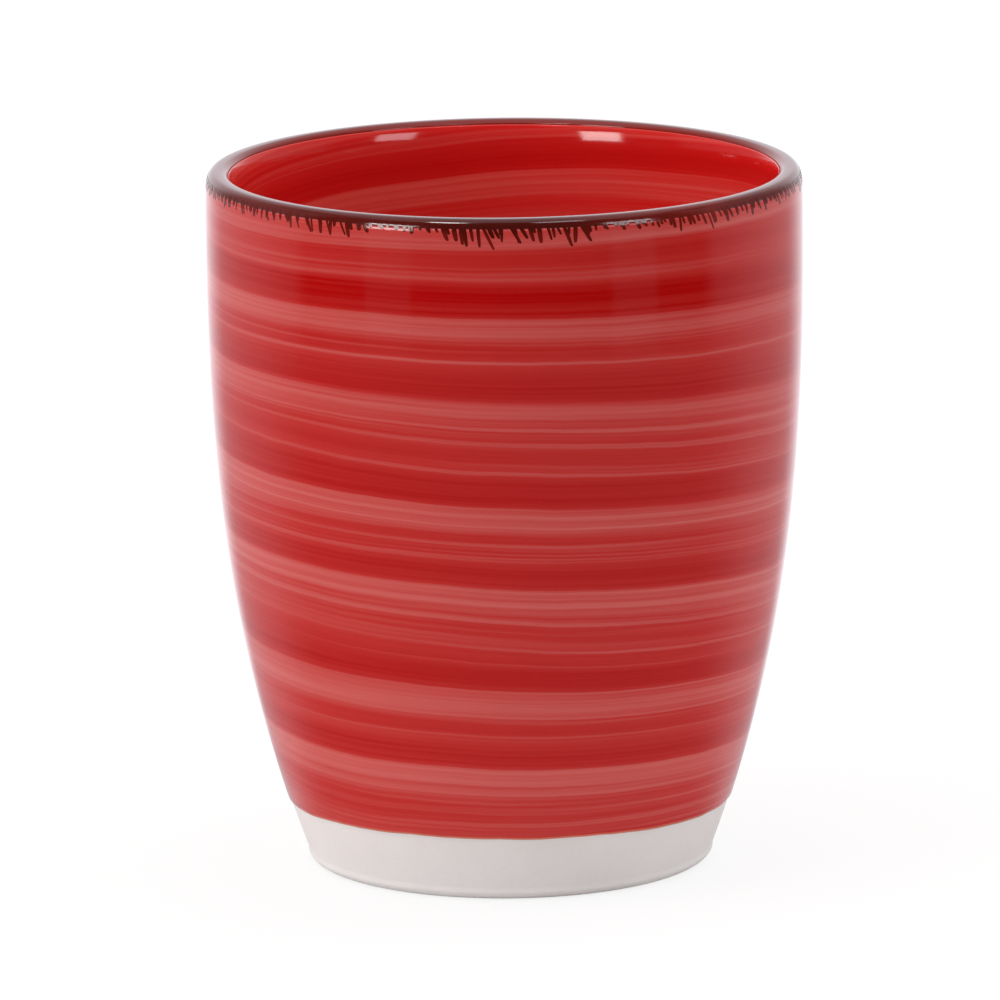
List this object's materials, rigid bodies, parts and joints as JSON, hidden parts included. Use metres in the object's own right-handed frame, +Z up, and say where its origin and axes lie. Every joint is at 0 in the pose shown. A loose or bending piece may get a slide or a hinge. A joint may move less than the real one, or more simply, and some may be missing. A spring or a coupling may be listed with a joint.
{
  "type": "mug",
  "caption": "Handleless ceramic mug with brushed red glaze inside and out, a brown band over the rounded lip and a bare clay foot ring.",
  "frame": {"origin": "centre of the foot, on the surface that the mug stands on", "axes": "+Z up along the mug's axis; the mug is round, so +X and +Y only fix where its brushed pattern starts"},
  "size_m": [0.085, 0.085, 0.1002],
  "materials": {
    "bare_clay": "matt unglazed white clay",
    "red_glaze_outside": "gloss, brushed in level bands",
    "brown_oxide_glaze": "gloss, brushed on",
    "red_glaze_inside": "gloss, brushed in level lines"
  },
  "bodies": {
    "root": {"clay_body": "bare_clay", "outer_red_glaze": "red_glaze_outside", "brown_rim_band": "brown_oxide_glaze", "inner_red_glaze": "red_glaze_inside"}
  },
  "joints": []
}
